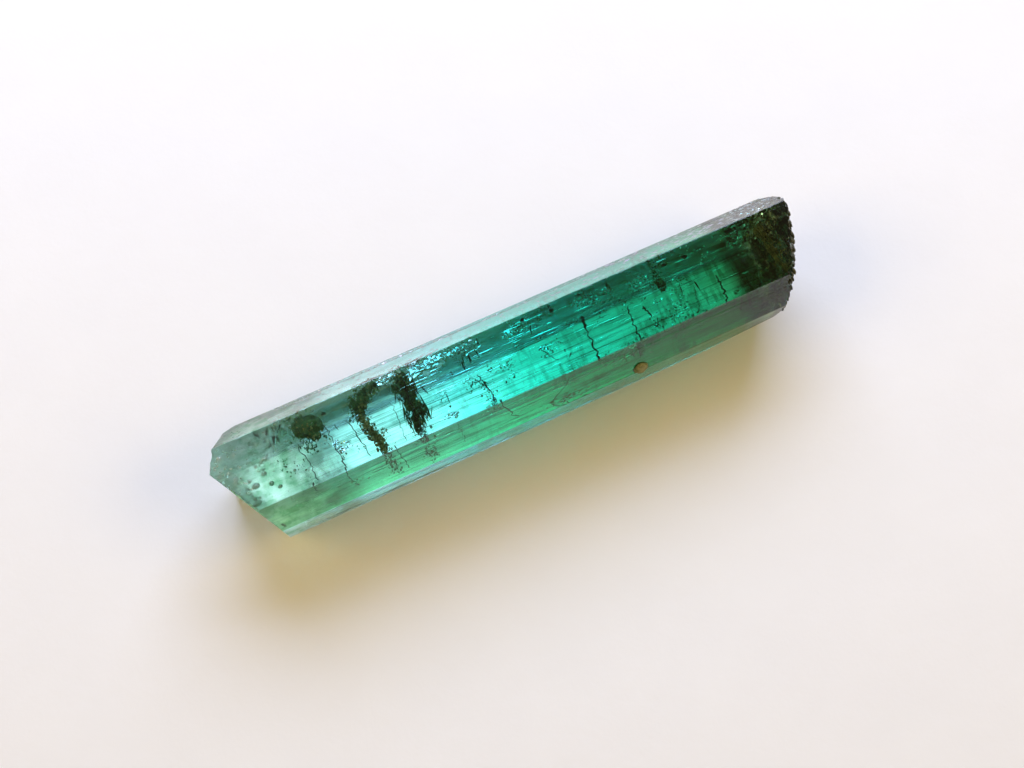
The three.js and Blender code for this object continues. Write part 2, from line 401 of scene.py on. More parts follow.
def crystal_material():
    k = Nodes("tourmaline_glass")
    p = k.pos()
    sep = k.add("ShaderNodeSeparateXYZ")
    k.put(sep.inputs[0], p)
    wob = k.noise(k.scaled(p, (60, 200, 200)), 1.0, 2)
    wob = k.math("ADD", wob, k.math("MULTIPLY", k.noise(k.scaled(p, (260, 900, 900)), 1.0, 3, 0.6), 0.5))
    x = k.math("ADD", sep.outputs["X"], k.math("MULTIPLY", k.math("SUBTRACT", wob, 0.75), 0.004))
    f = k.range(x, -0.020, 0.020)
    col = k.ramp(f, [
        (0.00, (0.94, 1.00, 0.95)),
        (0.13, (0.80, 1.00, 0.92)),
        (0.20, (0.56, 1.00, 1.00)),
        (0.30, (0.50, 1.00, 1.00)),
        (0.39, (0.22, 1.00, 1.00)),
        (0.50, (0.030, 0.86, 0.68)),
        (0.60, (0.012, 0.64, 0.44)),
        (0.70, (0.010, 0.46, 0.27)),
        (0.79, (0.012, 0.44, 0.23)),
        (0.86, (0.014, 0.28, 0.11)),
        (0.905, (0.04, 0.25, 0.09)),
        (0.93, (0.28, 0.34, 0.12)),
        (0.965, (0.26, 0.26, 0.09)),
        (1.00, (0.20, 0.18, 0.07)),
    ])
    # fine growth lines along the crystal
    g1 = k.noise(k.scaled(p, (5, 3600, 3600)), 1.0, 3, 0.6)
    g2 = k.noise(k.scaled(p, (11, 9000, 9000)), 1.0, 2, 0.5)
    where = k.range(k.noise(k.scaled(p, (150, 1300, 1300)), 1.0, 3), 0.40, 0.60)
    dim = k.range(k.math("ADD", k.math("MULTIPLY", g1, 0.6), k.math("MULTIPLY", g2, 0.4)), 0.51, 0.43)
    dim = k.math("MULTIPLY", dim, k.math("ADD", 0.22, k.math("MULTIPLY", where, 0.78)))
    dim = k.math("MULTIPLY", dim, k.range(f, 0.12, 0.34, 0.35, 1.0))
    col = k.mix(dim, col, k.mix(1.0, col, (0.08, 0.24, 0.19), "MULTIPLY"))
    # cloudier patches, and short cross breaks in the greener half
    cloudy = k.range(k.noise(k.scaled(p, (420, 1100, 1100)), 1.0, 4, 0.6), 0.56, 0.40)
    col = k.mix(k.math("MULTIPLY", cloudy, 0.55), col, k.mix(1.0, col, (0.40, 0.60, 0.55), "MULTIPLY"))
    cross = k.range(k.noise(k.scaled(p, (2600, 500, 500)), 1.0, 3, 0.6), 0.50, 0.43)
    patch = k.range(k.noise(k.scaled(p, (330, 500, 500)), 1.0, 2), 0.47, 0.58)
    cross = k.math("MULTIPLY", k.math("MULTIPLY", cross, patch), k.range(f, 0.30, 0.72, 0.25, 1.0))
    col = k.mix(cross, col, k.mix(1.0, col, (0.16, 0.34, 0.28), "MULTIPLY"))
    # painted shade: the front face darkened by a multiplied green tint, paler near the tip, and near black towards the
    # dark end
    z, y = sep.outputs["Z"], sep.outputs["Y"]
    below = k.range(z, 0.00693, 0.00686)
    front = k.math("MULTIPLY", k.math("MULTIPLY", below, k.range(z, 0.00462, 0.00468)), k.range(y, 0.0005, -0.0005))
    rear = k.math("MULTIPLY", k.math("MULTIPLY", below, k.range(z, 0.00410, 0.00420)), k.range(y, -0.0005, 0.0005))
    front_face_shade = k.mix(k.range(f, 0.50, 0.80), (0.045, 0.34, 0.085), (0.02, 0.13, 0.018))
    front_face_shade = k.mix(k.range(f, 0.17, 0.03), front_face_shade, (0.30, 0.38, 0.15))
    col = k.mix(front, col, k.mix(1.0, col, front_face_shade, "MULTIPLY"))
    # painted shade: the front face near black towards the dark end
    col = k.mix(k.math("MULTIPLY", front, k.range(f, 0.89, 0.94)), col, (0.07, 0.13, 0.035))
    # painted shade: the low front face tinted brown, so light passing through it leaves a warmer, darker cast shadow on
    # the paper
    under = k.math("MULTIPLY", k.range(z, 0.00226, 0.00218), k.range(y, -0.00238, -0.00246))
    col = k.mix(under, col, k.mix(1.0, col, (0.42, 0.32, 0.14), "MULTIPLY"))
    # painted reflection: the rear bevel tinted grey-blue, standing in for the bright surroundings it reflects
    col = k.mix(k.math("MULTIPLY", rear, 0.93), col, k.ramp(f, [
        (0.06, (0.66, 0.48, 0.48)), (0.40, (0.68, 0.42, 0.52)), (0.74, (0.80, 0.56, 0.76)), (0.92, (0.90, 0.90, 0.92))]))
    # painted shade: the upright front face darkened in lengths between bright ones, and darker again towards the right
    # end
    upright = k.math("MULTIPLY", k.math("MULTIPLY", k.range(z, 0.00218, 0.00226), k.range(z, 0.00466, 0.00460)), k.range(y, -0.00364, -0.00370))
    shaded_lengths = k.range(k.noise(k.scaled(p, (420, 60, 60)), 1.0, 3, 0.6), 0.46, 0.42)
    shaded_lengths = k.math("MULTIPLY", shaded_lengths, 0.8)
    col = k.mix(k.math("MULTIPLY", upright, shaded_lengths), col, k.mix(1.0, col, (0.22, 0.34, 0.22), "MULTIPLY"))
    right = k.range(f, 0.55, 0.80)
    col = k.mix(k.math("MULTIPLY", upright, right), col, k.mix(1.0, col, (0.4, 0.42, 0.25), "MULTIPLY"))
    # painted light: the resting face made pale under the dark end, so that stretch looks lighter from above
    sole = k.math("MULTIPLY", k.range(z, 0.00030, 0.00020), k.range(f, 0.915, 0.965))
    col = k.mix(k.math("MULTIPLY", sole, 0.8), col, (0.90, 1.00, 0.88))
    # mottling of the etched end
    mott = k.math("ADD", k.math("MULTIPLY", k.noise(k.scaled(p, (620, 620, 620)), 1.0, 4, 0.65), 0.7), k.math("MULTIPLY", k.noise(k.scaled(p, (1900, 1900, 1900)), 1.0, 3, 0.6), 0.3))
    tip = k.math("MULTIPLY", k.range(x, -0.0118, -0.0150), k.range(x, -0.0196, -0.0172, 0.35, 1.0))
    col = k.mix(k.math("MULTIPLY", tip, k.range(mott, 0.54, 0.43)), col, k.mix(1.0, col, (0.28, 0.52, 0.34), "MULTIPLY"))
    # etched, milky skin at the termination; a hazier patch or two beyond it
    haze = k.noise(k.scaled(p, (500, 500, 500)), 1.0, 4, 0.6)
    rough = k.ramp(k.math("ADD", f, k.math("MULTIPLY", k.math("SUBTRACT", haze, 0.5), 0.10)), [
        (0.00, (0.48, 0.48, 0.48)), (0.07, (0.40, 0.40, 0.40)), (0.12, (0.24, 0.24, 0.24)), (0.16, (0.07, 0.07, 0.07)), (0.19, (0.0, 0.0, 0.0)),
        (0.91, (0.0, 0.0, 0.0)), (0.97, (0.16, 0.16, 0.16))])
    # the low upright front face is satin
    rough = k.math("MAXIMUM", rough, k.math("MULTIPLY", upright, 0.04))
    # the resting face is coarse along its rear half
    coarse = k.math("MULTIPLY", k.math("MULTIPLY", k.range(y, -0.0003, 0.0002), k.range(y, 0.00175, 0.00165)), k.range(z, 0.00060, 0.00045))
    rough = k.math("MAXIMUM", rough, k.math("MULTIPLY", coarse, 0.76))
    # lengthwise striations
    s1 = k.noise(k.scaled(p, (6, 5200, 5200)), 1.0, 4, 0.65)
    s2 = k.noise(k.scaled(p, (14, 14000, 14000)), 1.0, 2, 0.5)
    mask = k.range(k.noise(k.scaled(p, (90, 900, 900)), 1.0, 2), 0.38, 0.66, 0.30, 1.0)
    lines = k.math("MULTIPLY", k.math("ADD", s1, k.math("MULTIPLY", s2, 0.35)), mask)
    nor = k.bump(lines, 0.55, 0.00003)
    pits = k.math("ADD", k.math("MULTIPLY", k.noise(k.scaled(p, (1300, 1300, 1300)), 1.0, 3, 0.5), 0.6), k.noise(k.scaled(p, (520, 520, 520)), 1.0, 2, 0.5))
    etch = k.math("MULTIPLY", pits, k.range(f, 0.17, 0.05, 0.0, 1.0))
    nor = k.bump(etch, 0.55, 0.00016, nor)
    k.principled(Base_Color=col, Roughness=rough, IOR=1.63, Transmission_Weight=1.0, Normal=nor)
    v = k.add("ShaderNodeVolumeAbsorption")
    v.inputs["Color"].default_value = (0.0, 0.62, 0.50, 1)
    v.inputs["Density"].default_value = 58.0
    k.t.links.new(v.outputs[0], k.out.inputs["Volume"])
    return k.m


def mineral(name, dark, pale, scale, rough=0.5, metallic=0.0, low=0.35, high=0.70):
    k = Nodes(name)
    p = k.pos()
    n = k.noise(k.scaled(p, scale), 1.0, 4, 0.6)
    col = k.mix(k.range(n, low, high), dark, pale)
    k.principled(Base_Color=col, Roughness=rough, Metallic=metallic)
    return k.m


def paper_material():
    k = Nodes("pale_paper")
    p = k.pos()
    n1 = k.noise(k.scaled(p, (1, 1, 1)), 900.0, 4, 0.6)
    n2 = k.noise(p, 160.0, 3)
    col = k.mix(n2, (0.86, 0.86, 0.87), (0.90, 0.90, 0.905))
    nor = k.bump(k.math("ADD", n1, k.math("MULTIPLY", n2, 1.5)), 0.25, 0.00008)
    # light gathered under the crystal, which a path tracer loses: only where the crystal covers the paper
    sep = k.add("ShaderNodeSeparateXYZ")
    k.put(sep.inputs[0], p)
    x, y = sep.outputs["X"], sep.outputs["Y"]
    along = k.math("MULTIPLY", k.range(k.math("ADD", x, k.math("MULTIPLY", y, 0.54)), -0.0192, -0.0181), k.math("MULTIPLY", k.range(x, -0.0193, -0.0184), k.range(x, 0.0164, 0.0154)))
    across = k.math("MULTIPLY", k.range(y, -0.0024, -0.0019), k.range(y, 0.00142, 0.00118))
    glow = k.math("MULTIPLY", k.math("MULTIPLY", along, across), k.range(x, -0.0040, 0.0040, 1.58, 1.36))
    # less of it under the cloudy stretch behind the etched end
    dip = k.math("MULTIPLY", k.range(x, -0.0172, -0.0148), k.range(x, -0.0112, -0.0128))
    spots = k.range(k.noise(k.scaled(p, (900, 900, 900)), 1.0, 3, 0.6), 0.58, 0.44, 0.30, 0.72)
    glow = k.math("MULTIPLY", glow, k.math("SUBTRACT", 1.0, k.math("MULTIPLY", dip, spots)))
    bs = k.principled(Base_Color=col, Roughness=0.9, Normal=nor, Emission_Color=(0.86, 0.97, 1.0))
    k.put(bs.inputs["Emission Strength"], glow)
    return k.m


# ------------------------------------------------------------------ camera
def aim(ob, target, up=(0, 0, 1)):
    back = (ob.location - Vector(target)).normalized()
    right = Vector(up).cross(back).normalized()
    over = back.cross(right)
    ob.matrix_world = Matrix(((right.x, over.x, back.x, ob.location.x),
                              (right.y, over.y, back.y, ob.location.y),
                              (right.z, over.z, back.z, ob.location.z), (0, 0, 0, 1)))


EL, AZ, DIST = math.radians(75.0), math.radians(-24.473), 102.169
TARGET = Vector((-0.375 + DX, -0.50 + DY, 3.4)) * MM
BACK = Vector((math.sin(AZ) * math.cos(EL), -math.cos(AZ) * math.cos(EL), math.sin(EL)))
cam = bpy.data.cameras.new("camera")
cam.sensor_width, cam.lens = 36.0, 36.0 * 1.55
cam.clip_start, cam.clip_end = 0.005, 5.0
cam.dof.use_dof = False
cam_ob = bpy.data.objects.new("camera", cam)
bpy.context.scene.collection.objects.link(cam_ob)
cam_ob.location = TARGET + BACK * DIST * MM
aim(cam_ob, TARGET)
bpy.context.scene.camera = cam_ob

# ------------------------------------------------------------------ the crystal
v, q, t = crystal_mesh()
crystal = new_mesh("tourmaline_prism", v, q, t, sharp=14)
crystal.data.materials.append(crystal_material())
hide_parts(NODE)
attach(crystal, "root")

# ------------------------------------------------------------------ places inside
# u runs along the crystal, 0 at the tip and 634 at the break (about 16 to the mm);
# v runs across a face, 0 at its rear edge and 1 at its front edge; depth is in mm.
def top_at(u, v, depth=0.3):
    p = np.array([-20.018 + 0.060354 * u + 0.0826 * v - 0.000705 * u * v + 4.24e-6 * u * u,
                  2.48 - 4.4923 * v - 0.00031 * u * v, HEIGHT])
    return p + np.array([0.067, 0.147, -1.0]) * depth


def front_at(u, w, depth=0.3):
    p = np.array([-19.917 + 0.059476 * u - 0.188 * w + 0.00127 * u * w + 4.53e-6 * u * u,
                  -2.043 - 0.0002 * u - 1.3265 * w, 7.1185 - 0.000357 * u - 2.2976 * w - 0.000179 * u * w])
    return p + np.array([0.0656, 0.555, -0.829]) * depth


def rear_at(u, w, depth=0.2):
    p = np.array([-19.997 + 0.060172 * u - 0.3027 * w + 0.00215 * u * w + 4.43e-6 * u * u,
                  2.458 + 1.697 * w, 7.04 - 2.939 * w])
    return p + np.array([0.0656, -0.407, -0.911]) * depth


def keep_inside(v, margin=0.04):
    v = v.copy()
    for _ in range(4):
        off = offsets(v[:, 0])
        for k, (_, d) in enumerate(SIDES):
            over = v[:, 1] * d[0] + v[:, 2] * d[1] - off[:, k] + margin
            over = np.clip(over, 0, None)
            v[:, 1] -= d[0] * over
            v[:, 2] -= d[1] * over
        v[:, 0] = np.clip(v[:, 0], left_end(v[:, 1], v[:, 2]) + margin, right_end(v[:, 1], v[:, 2]) - margin)
    return v


def unit(a):
    a = np.asarray(a, float)
    return a / max(1e-9, float(np.linalg.norm(a)))


class Bits:
    """Small closed bodies gathered into one mesh."""

    def __init__(self):
        self.v, self.f, self.n = [], [], 0

    def put(self, v, f):
        self.v.append(v)
        self.f.append(np.asarray(f) + self.n)
        self.n += len(v)

    def plate(self, c, normal, along, length, width, g, thick=0.012, sides=7, ragged=0.45):
        nrm = unit(normal)
        t = unit(np.asarray(along, float) - nrm * np.dot(along, nrm))
        b = np.cross(nrm, t)
        a = np.linspace(0, 2 * math.pi, sides, endpoint=False) + g.uniform(-0.3, 0.3, sides)
        r = 1 - ragged * g.random(sides)
        p = c + np.outer(np.cos(a) * r * length / 2, t) + np.outer(np.sin(a) * r * width / 2, b)
        warp = g.uniform(-0.5, 0.5, sides)[:, None] * nrm * 0.08 * min(length, width)
        p = p + warp
        v = np.concatenate([p + nrm * thick / 2, p - nrm * thick / 2, [c + nrm * thick / 2], [c - nrm * thick / 2]])
        f = []
        m = sides
        for i in range(m):
            j = (i + 1) % m
            f += [(i, j, 2 * m), (m + j, m + i, 2 * m + 1), (i, m + i, j), (j, m + i, m + j)]
        self.put(v, f)

    def rod(self, p, q, r, g, sides=5, parts=4, bend=0.1):
        p, q = np.asarray(p, float), np.asarray(q, float)
        ax = unit(q - p)
        s = unit(np.cross(ax, [0.31, 0.57, 0.76]))
        t = np.cross(ax, s)
        ring_v, f = [], []
        ln = np.linalg.norm(q - p)
        for k in range(parts + 1):
            w = k / parts
            rr = r * (1 - 0.75 * abs(2 * w - 1) ** 2) * g.uniform(0.7, 1.3)
            c = p + (q - p) * w + (s * g.normal() + t * g.normal()) * bend * ln * 0.12
            a = np.arange(sides) * 2 * math.pi / sides
            ring_v.append(c + np.outer(np.cos(a) * rr, s) + np.outer(np.sin(a) * rr, t))
        v = np.concatenate(ring_v + [[ring_v[0].mean(0)], [ring_v[-1].mean(0)]])
        m = sides
        for k in range(parts):
            for i in range(m):
                j = (i + 1) % m
                f += [(k * m + i, k * m + j, (k + 1) * m + i), (k * m + j, (k + 1) * m + j, (k + 1) * m + i)]
        e = (parts + 1) * m
        for i in range(m):
            j = (i + 1) % m
            f += [(j, i, e), (parts * m + i, parts * m + j, e + 1)]
        self.put(v, f)

    def blob(self, c, radii, g, lump=0.2, nu=18, nv=11, seed=1):
        a = np.arange(nu) * 2 * math.pi / nu
        h = np.arange(1, nv) * math.pi / nv
        A, H = np.meshgrid(a, h)
        d = np.stack([np.sin(H) * np.cos(A), np.sin(H) * np.sin(A), np.cos(H)], -1)
        rr = 1 + lump * 2 * (fbm(d[..., 0] * 2.1 + d[..., 2] * 1.7 + 9, d[..., 1] * 2.1 - d[..., 2] * 1.3 + 5, seed, 3, 0.6))
        p = np.asarray(c) + d * rr[..., None] * np.asarray(radii)
        v = np.concatenate([p.reshape(-1, 3), [np.asarray(c) + [0, 0, radii[2]]], [np.asarray(c) - [0, 0, radii[2]]]])
        n = (nv - 1) * nu
        f = []
        for i in range(nu):
            j = (i + 1) % nu
            f += [(i, j, n), ((nv - 2) * nu + j, (nv - 2) * nu + i, n + 1)]
            for k in range(nv - 2):
                f += [(k * nu + i, (k + 1) * nu + i, k * nu + j), (k * nu + j, (k + 1) * nu + i, (k + 1) * nu + j)]
        self.put(v, f)

    def wall(self, pts, down, depth, thick, g, ragged=0.4):
        """A thin upright sheet hanging from a jagged line: a near-black sheet of painted shade standing in for an open
        crack's dark gap.
        """
        pts = np.asarray(pts, float)
        n = len(pts)
        tan = np.gradient(pts, axis=0)
        side = np.array([unit(np.cross(t, down)) for t in tan])
        th = thick * np.interp(np.arange(n), [0, 1, n - 2, n - 1], [0.3, 1, 1, 0.3])[:, None] * g.uniform(0.5, 1.4, (n, 1))
        dp = depth * (1 - ragged * g.random((n, 1)))
        low = pts + np.asarray(down) * dp
        v = np.concatenate([pts + side * th / 2, pts - side * th / 2, low - side * th / 5, low + side * th / 5])
        f = []
        for i in range(n - 1):
            for a, b in ((0, 1), (1, 2), (2, 3), (3, 0)):
                p, q, r, s = a * n + i, a * n + i + 1, b * n + i, b * n + i + 1
                f += [(p, r, q), (q, r, s)]
        for i, flip in ((0, False), (n - 1, True)):
            p, q, r, s = i, n + i, 2 * n + i, 3 * n + i
            f += [(p, q, r), (p, r, s)] if flip else [(p, r, q), (p, s, r)]
        self.put(v, f)

    def piece(self, name, material, inside=True, smooth=False):
        v = np.concatenate(self.v)
        if inside:
            v = keep_inside(v)
        v[:, 0] += DX
        v[:, 1] += DY
        ob = new_mesh(name, v, np.concatenate(self.f), smooth=smooth)
        ob.data.materials.append(material)
        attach(ob, "root")
        return ob


def jagged(at, pts, depth, n, g, amp=1.2):
    """A jagged line through (u, v) points on a face."""
    pts = np.asarray(pts, float)
    s = np.linspace(0, len(pts) - 1, n)
    u = np.interp(s, np.arange(len(pts)), pts[:, 0]) + g.normal(0, amp, n)
    v = np.interp(s, np.arange(len(pts)), pts[:, 1])
    return np.array([at(a, b, depth) for a, b in zip(u, v)])


INTO_TOP, INTO_FRONT = np.array([0.067, 0.147, -1.0]), np.array([0.0656, 0.555, -0.829])
dark, olive, film, pale, crack, milk, bead = Bits(), Bits(), Bits(), Bits(), Bits(), Bits(), Bits()


TILT = {"top_at": (-0.035, 0.19, 1.0), "front_at": (-0.04, -0.03, 1.0), "rear_at": (-0.04, 0.88, 1.0)}


def cloud(bits, at, path, half, depth, count, size, seed, flat=0.5, along=(0, 1, 0.1), spread=0.5, thick=0.02):
    """Flakes scattered about a path of (u, v); half is its half width in u."""
    g = rng(seed)
    path = np.asarray(path, float)
    for _ in range(count):
        s = g.uniform(0, len(path) - 1)
        i = min(int(s), len(path) - 2)
        c = path[i] + (path[i + 1] - path[i]) * (s - i)
        c = c + np.array([g.normal() * half * spread, g.normal() * half * spread / 71.0])
        p = at(c[0], c[1], g.uniform(*depth))
        lean = TILT[at.__name__]
        a, b = g.normal() * flat, g.normal() * flat
        nrm = unit([lean[0] + a, lean[1] + b, lean[2]])
        al = unit(np.asarray(along) + g.normal(0, 0.45, 3))
        ln = size * g.uniform(0.4, 1.3)
        # film flakes tilted too far to catch the window go to the pale flakes, whose pale colour is a painted glint
        into = pale if bits is film and math.hypot(a, b) > 0.17 else bits
        into.plate(p, nrm, al, ln, ln * g.uniform(0.25, 0.8), g, thick=thick * g.uniform(0.6, 1.4), sides=int(g.integers(5, 9)))


# blob 1: a rounded dark green clot with frayed edges and glints beneath it
g = rng(101)
dark.blob(top_at(107, 0.235, 0.66), (0.74, 0.72, 0.36), g, 0.34, 48, 28, 31)
dark.blob(top_at(112, 0.40, 0.80), (0.36, 0.32, 0.25), g, 0.45, 30, 18, 32)
dark.blob(top_at(119, 0.27, 0.72), (0.30, 0.42, 0.22), g, 0.45, 30, 18, 35)
dark.blob(top_at(98, 0.18, 0.72), (0.30, 0.34, 0.22), g, 0.45, 30, 18, 36)
for u, v, rx, ry, sd in [(188, 0.075, 0.34, 0.16, 1), (179, 0.09, 0.30, 0.24, 2), (172, 0.17, 0.26, 0.36, 3), (166, 0.27, 0.30, 0.38, 4), (160, 0.22, 0.16, 0.42, 5), (161, 0.36, 0.18, 0.30, 6),
                         (163, 0.50, 0.13, 0.36, 7), (166, 0.66, 0.14, 0.40, 8), (170, 0.82, 0.17, 0.36, 9), (214, 0.13, 0.34, 0.34, 10), (210, 0.27, 0.30, 0.44, 11), (216, 0.38, 0.34, 0.46, 12),
                         (211, 0.52, 0.26, 0.50, 13), (217, 0.62, 0.24, 0.42, 14), (212, 0.76, 0.28, 0.46, 15), (209, 0.88, 0.18, 0.30, 16), (204, 0.24, 0.12, 0.3, 17), (223, 0.30, 0.10, 0.34, 18)]:
    (olive if sd in (8, 9) else dark).blob(top_at(u, v, 0.75), (rx, ry, 0.16), g, 0.75, 30, 18, 50 + sd)
cloud(dark, top_at, [(96, 0.12), (107, 0.30), (113, 0.46)], 13, (0.25, 0.9), 150, 0.26, 102)
cloud(olive, top_at, [(104, 0.14), (113, 0.28), (108, 0.42)], 8, (0.12, 0.3), 46, 0.20, 103)
cloud(dark, top_at, [(101, 0.44), (106, 0.60)], 5, (0.3, 0.8), 46, 0.20, 104)
cloud(film, top_at, [(114, 0.44), (104, 0.58), (118, 0.66)], 12, (0.2, 0.9), 22, 0.24, 105, 0.22)

# inclusion 2: a hook, then a jagged tan band down to the front edge
cloud(dark, top_at, [(190, 0.06), (178, 0.07), (170, 0.16), (164, 0.30), (160, 0.38)], 10, (0.2, 1.1), 240, 0.26, 111)
cloud(dark, top_at, [(160, 0.14), (160, 0.32)], 5, (0.2, 0.8), 70, 0.22, 112)
cloud(olive, top_at, [(182, 0.08), (170, 0.22), (164, 0.36)], 7, (0.10, 0.22), 60, 0.22, 113)
cloud(olive, top_at, [(162, 0.40), (164, 0.60), (168, 0.78), (171, 0.97)], 6, (0.06, 0.5), 300, 0.34, 114, spread=0.4)
cloud(dark, top_at, [(161, 0.44), (165, 0.62), (170, 0.92)], 7, (0.5, 1.4), 60, 0.26, 115)
cloud(film, top_at, [(157, 0.40), (161, 0.60), (166, 0.95)], 5, (0.12, 0.3), 14, 0.22, 116, 0.12)
cloud(olive, top_at, [(176, 0.70), (178, 0.78)], 4, (0.3, 0.6), 22, 0.20, 117)
cloud(dark, front_at, [(170, 0.02), (172, 0.9)], 9, (0.6, 1.8), 90, 0.26, 118, along=(0, 1, 1))

# inclusion 3: a column of dark threads across the crystal
g = rng(121)
for _ in range(190):
    u = 215 + g.normal() * 6.0
    v0 = g.uniform(0.08, 0.72)
    d0 = g.uniform(0.25, 1.5)
    a, b = top_at(u, v0, d0), top_at(u + g.normal() * 3, v0 + g.uniform(0.10, 0.30), d0 + g.uniform(-0.2, 0.3))
    dark.rod(a, b, g.uniform(0.015, 0.05), g)
cloud(dark, top_at, [(215, 0.16), (212, 0.40), (214, 0.74), (211, 0.96)], 10, (0.3, 1.5), 230, 0.24, 122)
cloud(olive, top_at, [(212, 0.06), (214, 0.20), (216, 0.5), (214, 0.8)], 8, (0.15, 0.4), 50, 0.20, 123)
cloud(dark, front_at, [(212, 0.02), (212, 0.95)], 9, (0.7, 1.9), 80, 0.26, 124, along=(0, 1, 1))

# smaller clots
for (u, v, h, n, sd) in [(275, 0.62, 7, 34, 1), (288, 0.70, 6, 40, 2), (291, 0.92, 8, 56, 3), (276, 0.30, 4, 20, 4), (242, 0.69, 6, 16, 5),
                         (318, 0.68, 8, 16, 6), (316, 0.56, 7, 18, 7), (284, 0.60, 5, 20, 8), (362, 0.57, 5, 12, 9), (356, 0.66, 3, 10, 10),
                         (335, 0.38, 5, 12, 11), (372, 0.08, 9, 24, 12), (358, 0.37, 5, 10, 13), (424, 0.43, 8, 22, 14), (421, 0.26, 5, 12, 15),
                         (447, 0.38, 9, 26, 16), (502, 0.06, 5, 24, 17), (463, 0.20, 4, 12, 18), (512, 0.44, 6, 18, 19), (441, 0.10, 3, 14, 20),
                         (48, 0.14, 4, 16, 21), (52, 0.52, 5, 14, 22), (62, 0.30, 5, 12, 23), (30, 0.74, 6, 12, 24), (72, 0.60, 7, 20, 25),
                         (57, 0.08, 5, 14, 26), (90, 0.68, 10, 10, 27), (128, 0.84, 6, 6, 28), (150, 0.80, 5, 6, 29), (300, 0.50, 6, 14, 30)]:
    cloud(dark, top_at, [(u - 1, v), (u + 1, v + 0.01)], h, (0.2, 0.9), n, 0.17, 200 + sd)
g = rng(131)
dark.blob(top_at(491, 0.40, 0.55), (0.30, 0.44, 0.30), g, 0.25, 20, 12, 33)
cloud(dark, top_at, [(489, 0.20), (491, 0.46)], 7, (0.2, 0.8), 56, 0.20, 132)
cloud(film, top_at, [(488, 0.62), (500, 0.72), (494, 0.90)], 16, (0.2, 0.8), 90, 0.22, 133, 0.16)

# short ticks lying across the crystal: near-black rods of painted shade in the crack material
g = rng(141)
for u, v0, v1 in [(70, 0.04, 0.14), (72.5, 0.16, 0.30), (75, 0.02, 0.12), (77, 0.18, 0.28), (79.5, 0.05, 0.12), (82, 0.10, 0.16), (68, 0.22, 0.30), (85, 0.05, 0.11),
                  (56, 0.02, 0.10), (60, 0.05, 0.12), (280, 0.16, 0.32), (286, 0.20, 0.34), (293, 0.14, 0.33), (299, 0.04, 0.18), (262, 0.32, 0.40), (230, 0.34, 0.46),
                  (276, 0.26, 0.44), (465, 0.56, 0.66), (468, 0.64, 0.73), (376, 0.68, 0.72), (381, 0.76, 0.82), (310, 0.76, 0.80), (354, 0.18, 0.32), (508, 0.46, 0.66),
                  (522, 0.52, 0.70), (134, 0.36, 0.46), (250, 0.60, 0.72), (474, 0.78, 0.92), (440, 0.06, 0.13)]:
    crack.rod(top_at(u, v0, 0.25), top_at(u + g.normal() * 2.2, v1, 0.35), 0.05 * g.uniform(0.6, 1.3), g)

# open cracks as near-black sheets of painted shade: top face, and on down the front bevel
g = rng(151)
for pts, dep, th in [([(126, 0.30), (127, 0.62), (128, 0.99)], 0.5, 0.05), ([(93, 0.40), (96, 0.70), (98, 0.99)], 0.4, 0.04), ([(146, 0.36), (151, 0.55), (156, 0.98)], 0.5, 0.045),
                     ([(195, 0.34), (195.5, 0.98)], 0.35, 0.035), ([(287, 0.52), (290, 0.74), (292, 0.98)], 0.6, 0.07), ([(249, 0.55), (249, 0.80)], 0.3, 0.03),
                     ([(404, 0.34), (403, 0.66), (404, 0.99)], 0.8, 0.10), ([(450, 0.48), (450, 0.98)], 0.6, 0.085), ([(352, 0.52), (360, 0.68), (366, 0.80)], 0.4, 0.045),
                     ([(545, 0.58), (546, 0.80), (545, 0.98)], 0.7, 0.09), ([(404, 0.36), (405, 0.52)], 0.9, 0.20), ([(464, 0.58), (470, 0.76)], 0.5, 0.07),
                     ([(216, 0.10), (214, 0.50), (212, 0.97)], 0.8, 0.05), ([(469, 0.80), (473, 0.96)], 0.4, 0.04), ([(520, 0.60), (516, 0.90)], 0.3, 0.03)]:
    crack.wall(jagged(top_at, pts, 0.045, 16, g, 0.9), INTO_TOP, dep, th, g)
for pts, dep, th in [([(127, 0.02), (127, 0.30), (133, 0.70)], 0.4, 0.055), ([(182, 0.0), (184, 0.45), (187, 0.85)], 0.4, 0.05), ([(296, 0.0), (301, 0.40), (303, 0.62), (308, 0.72)], 0.5, 0.07),
                     ([(404, 0.0), (404, 0.10)], 0.4, 0.05), ([(92, 0.05), (92, 0.30)], 0.3, 0.04), ([(370, 0.15), (362, 0.40), (350, 0.60), (342, 0.75), (347, 0.93), (356, 0.98)], 0.3, 0.045),
                     ([(358, 0.90), (358.5, 1.0)], 0.3, 0.07), ([(376, 0.95), (380, 1.0)], 0.3, 0.06), ([(47, 0.84), (50, 0.99)], 0.3, 0.06), ([(445, 0.05), (443, 0.55)], 0.4, 0.05),
                     ([(248, 0.10), (249, 0.80)], 0.3, 0.03), ([(428, 0.15), (428, 0.55)], 0.3, 0.04)]:
    crack.wall(jagged(front_at, pts, 0.045, 16, g, 0.8), INTO_FRONT, dep, th, g)

